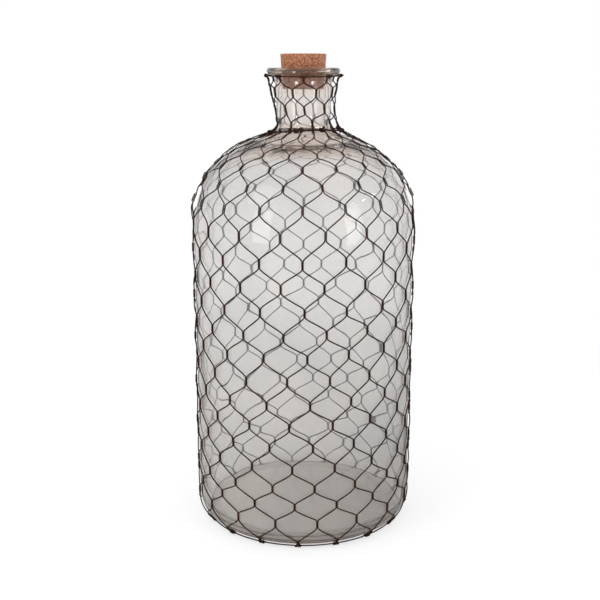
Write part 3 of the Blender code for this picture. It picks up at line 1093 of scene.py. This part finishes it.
def cork_material():
    made, tree, shader = blank_material("granular_cork", {"Specular IOR Level": CORK_SPECULAR})
    coordinates = node(tree, "ShaderNodeTexCoord", -1500, 0)
    cells = {"Scale": GRAIN_SCALE, "Randomness": 1.0}
    grains = node(tree, "ShaderNodeTexVoronoi", -1200, 200, cells)
    link(tree, coordinates, "Object", grains, "Vector")
    split = node(tree, "ShaderNodeSeparateColor", -950, 200)
    link(tree, grains, "Color", split, "Color")
    shade = ramp(tree, -700, 200, GRAIN_COLOURS, split, "Red")
    edges = node(
        tree, "ShaderNodeTexVoronoi", -1200, -100, cells, feature="DISTANCE_TO_EDGE",
    )
    link(tree, coordinates, "Object", edges, "Vector")
    seam = ranged(tree, -950, -100, edges, "Distance", (0.0, SEAM_WIDTH), (SEAM_SHARE, 0.0))
    darker = node(
        tree, "ShaderNodeMix", -400, 150, {MIX_B: SEAM_COLOUR}, data_type="RGBA",
    )
    link(tree, seam, "Result", darker, MIX_FACTOR)
    link(tree, shade, "Color", darker, MIX_A)
    link(tree, darker, MIX_RESULT, shader, "Base Color")
    rough = ranged(tree, -700, -300, split, "Green", end=CORK_ROUGHNESS)
    link(tree, rough, "Result", shader, "Roughness")
    bumped(tree, shader, edges, "Distance", GRAIN_STRENGTH, GRAIN_DISTANCE)
    return made


def seen_by_eye(tree, x, y):
    """1 for rays that show the background: straight, in a reflection or through glass."""
    path = node(tree, "ShaderNodeLightPath", x, y)
    either = node(tree, "ShaderNodeMath", x + 200, y, operation="MAXIMUM")
    link(tree, path, "Is Camera Ray", either, 0)
    link(tree, path, "Is Glossy Ray", either, 1)
    any_of = node(tree, "ShaderNodeMath", x + 400, y, operation="MAXIMUM")
    link(tree, either, 0, any_of, 0)
    link(tree, path, "Is Transmission Ray", any_of, 1)
    return any_of


def chosen(tree, x, y, chooser, output, when_0, when_1):
    """One shader turning into another as a value goes from 0 to 1."""
    made = node(tree, "ShaderNodeMixShader", x, y)
    link(tree, chooser, output, made, 0)
    link(tree, when_0, 0, made, 1)
    link(tree, when_1, 0, made, 2)
    return made


def make_world():
    world = bpy.data.worlds.new("studio")
    world.use_nodes = True
    bpy.context.scene.world = world
    tree = world.node_tree
    tree.nodes.clear()
    lit = node(tree, "ShaderNodeBackground", 0, 100, {"Color": WHITE, "Strength": AMBIENT})
    coordinates = node(tree, "ShaderNodeTexCoord", -900, -300)
    split = node(tree, "ShaderNodeSeparateXYZ", -700, -300)
    link(tree, coordinates, "Generated", split, "Vector")
    stops = ((CEILING_START, WHITE[:3]), (CEILING_END, CEILING_COLOUR))
    rise = ramp(tree, -450, -300, stops, split, "Z")
    shown = node(tree, "ShaderNodeBackground", 0, -100, {"Strength": 1.0})
    link(tree, rise, "Color", shown, "Color")
    mix = chosen(tree, 250, 0, seen_by_eye(tree, -800, 0), 0, lit, shown)
    output = node(tree, "ShaderNodeOutputWorld", 500, 0)
    link(tree, mix, 0, output, "Surface")


def floor_material():
    """A pale floor that keeps the bottle's shadow and fades into the white background."""
    made = bpy.data.materials.new("pale_floor")
    made.use_nodes = True
    tree = made.node_tree
    tree.nodes.clear()
    coordinates = node(tree, "ShaderNodeTexCoord", -900, -200)
    length = node(tree, "ShaderNodeVectorMath", -700, -200, operation="LENGTH")
    link(tree, coordinates, "Object", length, 0)
    split = node(tree, "ShaderNodeSeparateXYZ", -700, -400)
    link(tree, coordinates, "Object", split, "Vector")

    def pale(x, y, white):
        return node(tree, "ShaderNodeBsdfDiffuse", x, y, {"Color": (white, white, white, 1)})

    def fading(near, far_strength, start, end, y):
        """The near shader, turning into a plain glow further out."""
        far = node(tree, "ShaderNodeEmission", 250, y, {"Strength": far_strength})
        fade = ranged(
            tree, -500, y, length, "Value", (start, end), interpolation_type="SMOOTHSTEP",
        )
        return chosen(tree, 500, y, fade, "Result", near, far)

    def lifted(share, left, right, tint, y):
        """A share of the lit floor, with its shadow, and a glow over it from left to right; where the
        glow is weaker on the right it paints a shadow there.
        """
        glow = node(tree, "ShaderNodeEmission", -250, y - 100, {"Color": tint})
        across = ranged(
            tree, -500, y - 100, split, "X", (-BODY_RADIUS, BODY_RADIUS), (left, right),
        )
        link(tree, across, "Result", glow, "Strength")
        both = node(tree, "ShaderNodeAddShader", 0, y)
        link(tree, pale(-250, y + 50, FLOOR_WHITE * share), 0, both, 0)
        link(tree, glow, 0, both, 1)
        return both

    diffuse = pale(0, 200, FLOOR_WHITE)
    seen_near = lifted(FLOOR_LIT_SHARE, FLOOR_GLOW, FLOOR_GLOW, WHITE, 450)
    straight = fading(seen_near, 1.0, FADE_START, FADE_END, 450)
    # What glass shows of the floor, with a painted shadow of the bottle on the right
    mirrored_near = lifted(
        MIRRORED_LIT_SHARE, PAINTED_SHADOW_GLOW_LEFT, PAINTED_SHADOW_GLOW_RIGHT, MIRRORED_TINT, 0,
    )
    mirrored = fading(mirrored_near, FAR_SEEN, FAR_START, FAR_END, 0)
    through = chosen(tree, 750, 100, seen_by_eye(tree, -900, 900), 0, diffuse, mirrored)
    path = node(tree, "ShaderNodeLightPath", 250, 800)
    seen = chosen(tree, 950, 300, path, "Is Camera Ray", through, straight)
    output = node(tree, "ShaderNodeOutputMaterial", 1150, 0)
    link(tree, seen, 0, output, "Surface")
    return made


def make_floor():
    mesh = bpy.data.meshes.new("floor")
    half = FLOOR_SIZE / 2
    corners = [(-half, -half, 0), (half, -half, 0), (half, half, 0), (-half, half, 0)]
    mesh.from_pydata(corners, [], [(0, 1, 2, 3)])
    floor = bpy.data.objects.new("floor", mesh)
    bpy.context.scene.collection.objects.link(floor)
    mesh.materials.append(floor_material())


def add_lamp(name, azimuth, distance, height, aim_height, width, tallness, radiance):
    """An area lamp aimed at the bottle's axis. Its radiance holds for a full spread."""
    data = bpy.data.lights.new(name, "AREA")
    data.shape = "RECTANGLE"
    data.size = width
    data.size_y = tallness
    data.energy = radiance * math.pi * width * tallness
    lamp = bpy.data.objects.new(name, data)
    turn = math.radians(azimuth)
    place = mathutils.Vector((distance * math.sin(turn), -distance * math.cos(turn), height))
    aim = mathutils.Vector((0, 0, aim_height)) - place
    lamp.location = place
    lamp.rotation_euler = aim.to_track_quat("-Z", "Y").to_euler()
    lamp.visible_camera = False
    bpy.context.scene.collection.objects.link(lamp)
    return lamp


def make_lamps():
    for name, azimuth, distance, height, *size_and_radiance, mirrored in LAMPS:
        lamp = add_lamp(name, azimuth, distance, height, LAMP_AIM, *size_and_radiance)
        lamp.visible_glossy = mirrored
    for name, azimuth, height, *size_and_radiance in GLINT_LAMPS:
        lamp = add_lamp(name, azimuth, GLINT_DISTANCE, height, GLINT_AIM, *size_and_radiance)
        lamp.data.spread = GLINT_SPREAD
        lamp.visible_diffuse = False
        lamp.visible_transmission = False


def make_camera():
    data = bpy.data.cameras.new("camera")
    data.sensor_width = SENSOR
    data.lens = CAMERA_FOCAL_PIXELS / PHOTO_PIXELS * SENSOR
    data.shift_x = -PHOTO_SHIFT_PIXELS / PHOTO_PIXELS
    data.clip_start = CLIP_START
    camera = bpy.data.objects.new("camera", data)
    camera.location = (0, -CAMERA_DISTANCE, CAMERA_HEIGHT)
    camera.rotation_euler = (math.radians(90 - CAMERA_PITCH), 0, 0)
    bpy.context.scene.collection.objects.link(camera)
    bpy.context.scene.camera = camera


bpy.context.scene.view_settings.view_transform = "Standard"
make_camera()
make_world()
make_floor()
make_lamps()
glass_piece(glass_material())
cork_piece(cork_material())
netting_pieces(wire_material())
